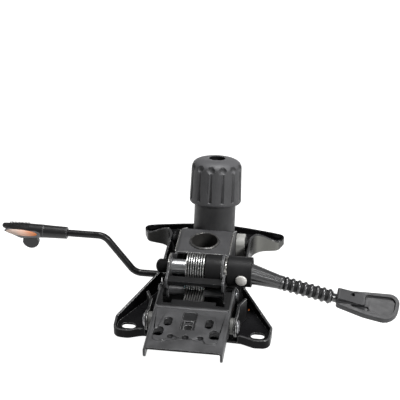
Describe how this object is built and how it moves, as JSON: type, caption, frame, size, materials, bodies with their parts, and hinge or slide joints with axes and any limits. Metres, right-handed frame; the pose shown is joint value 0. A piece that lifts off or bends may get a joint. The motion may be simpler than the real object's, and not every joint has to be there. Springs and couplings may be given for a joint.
{
  "type": "office chair tilt mechanism",
  "caption": "Synchronous office chair tilt mechanism: pressed seat plate, housing with gas-lift taper, friction-plate lock, tension knob, back bracket and two side levers.",
  "frame": {"origin": "on the gas-lift axis, in the plane of the face that meets the seat", "axes": "+X across the chair, along its longest extent; +Y to the chair's front; +Z away from the seat, so the part lies upside down as pictured"},
  "size_m": [0.4329, 0.273, 0.1248],
  "materials": {
    "black_steel": "satin black paint on pressed steel",
    "sleeve_steel": "dark phosphated steel",
    "zinc_steel": "bright zinc plate",
    "plate_steel": "bare rolled steel",
    "pin_steel": "oiled turned steel",
    "spring_steel": "oiled spring wire",
    "rod_steel": "black painted rod",
    "black_plastic": "moulded black plastic",
    "knob_plastic": "fine textured dark grey plastic",
    "lever_plastic": "smooth dark grey plastic",
    "grey_nylon": "moulded grey nylon",
    "white_nylon": "moulded natural nylon",
    "teal_nylon": "moulded teal nylon",
    "orange_inlay": "glossy orange inlay"
  },
  "bodies": {
    "seat": {"seat_plate": "black_steel", "seat_ear_left": "black_steel", "seat_ear_right": "black_steel", "spring_post": "black_steel", "front_block_left": "grey_nylon", "front_block_right": "grey_nylon", "rear_rivets": "zinc_steel", "rear_washers": "white_nylon"},
    "housing": {"housing": "black_steel", "gas_lift_sleeve": "sleeve_steel", "spring_tube": "black_steel", "front_pivot_pin": "pin_steel", "front_pin_clips": "zinc_steel", "main_pivot_pin": "black_steel", "main_pin_clips": "zinc_steel", "pivot_bushes": "black_plastic", "lock_axle": "pin_steel", "axle_cap": "black_plastic", "axle_washer": "black_steel", "zinc_sleeve": "zinc_steel", "fixed_plates": "plate_steel", "plate_strap": "black_steel", "axle_spacer": "black_plastic", "pressure_washer": "zinc_steel", "cam_cup": "black_plastic", "cam_pin": "zinc_steel", "rod_bush": "black_plastic"},
    "back": {"back_bracket": "black_steel", "bracket_insert": "black_steel", "moving_plates": "plate_steel", "plate_pin": "pin_steel", "plate_bushes": "teal_nylon"},
    "lock_lever": {"lever_core": "zinc_steel", "lever_boot": "lever_plastic", "lock_paddle": "lever_plastic"},
    "height_lever": {"height_rod": "rod_steel", "rod_pivot_pin": "pin_steel", "height_grip": "black_plastic", "grip_inlay": "orange_inlay"},
    "knob": {"tension_knob": "knob_plastic", "tension_screw": "pin_steel"},
    "nut": {"nut_plate": "sleeve_steel"},
    "cup": {"spring_cup": "sleeve_steel", "tension_spring": "spring_steel"}
  },
  "joints": [
    {"name": "seat_tilt", "type": "hinge", "parent": "seat", "child": "housing", "pos_m": [0, 0.052, 0.02], "axis": [1, 0, 0], "range_deg": [0, 7.1]},
    {"name": "back_tilt", "type": "hinge", "parent": "housing", "child": "back", "pos_m": [0, -0.05, 0.0225], "axis": [-1, 0, 0], "range_deg": [0, 20], "stiffness_Nm_per_rad": 40, "springref_deg": -14.32},
    {"name": "lock_turn", "type": "hinge", "parent": "housing", "child": "lock_lever", "pos_m": [0.046, -0.038, 0.0445], "axis": [0, -1, 0], "range_deg": [0, 14]},
    {"name": "height_turn", "type": "hinge", "parent": "housing", "child": "height_lever", "pos_m": [-0.0215, -0.014, 0.016], "axis": [0, -1, 0], "range_deg": [0, 5], "stiffness_Nm_per_rad": 3, "springref_deg": -11.46},
    {"name": "knob_turn", "type": "hinge", "parent": "housing", "child": "knob", "pos_m": [0.005, 0.0465, 0.054], "axis": [0, 0.2924, 0.9563], "range_deg": [0, 720]},
    {"name": "nut_slide", "type": "slide", "parent": "housing", "child": "nut", "axis": [0, 0.2924, 0.9563], "range_m": [0, 0.0031]},
    {"name": "cup_slide", "type": "slide", "parent": "housing", "child": "cup", "axis": [0, 0.2924, 0.9563], "range_m": [0, 0.0025], "deforming": ["tension_spring"]}
  ],
  "couplings": [
    {"joint": "seat_tilt", "follows": "back_tilt", "ratio": 0.35},
    {"joint": "nut_slide", "follows": "knob_turn", "m_per_rad": 0.00023873},
    {"joint": "cup_slide", "follows": "back_tilt", "m_per_rad": 0.0066}
  ]
}
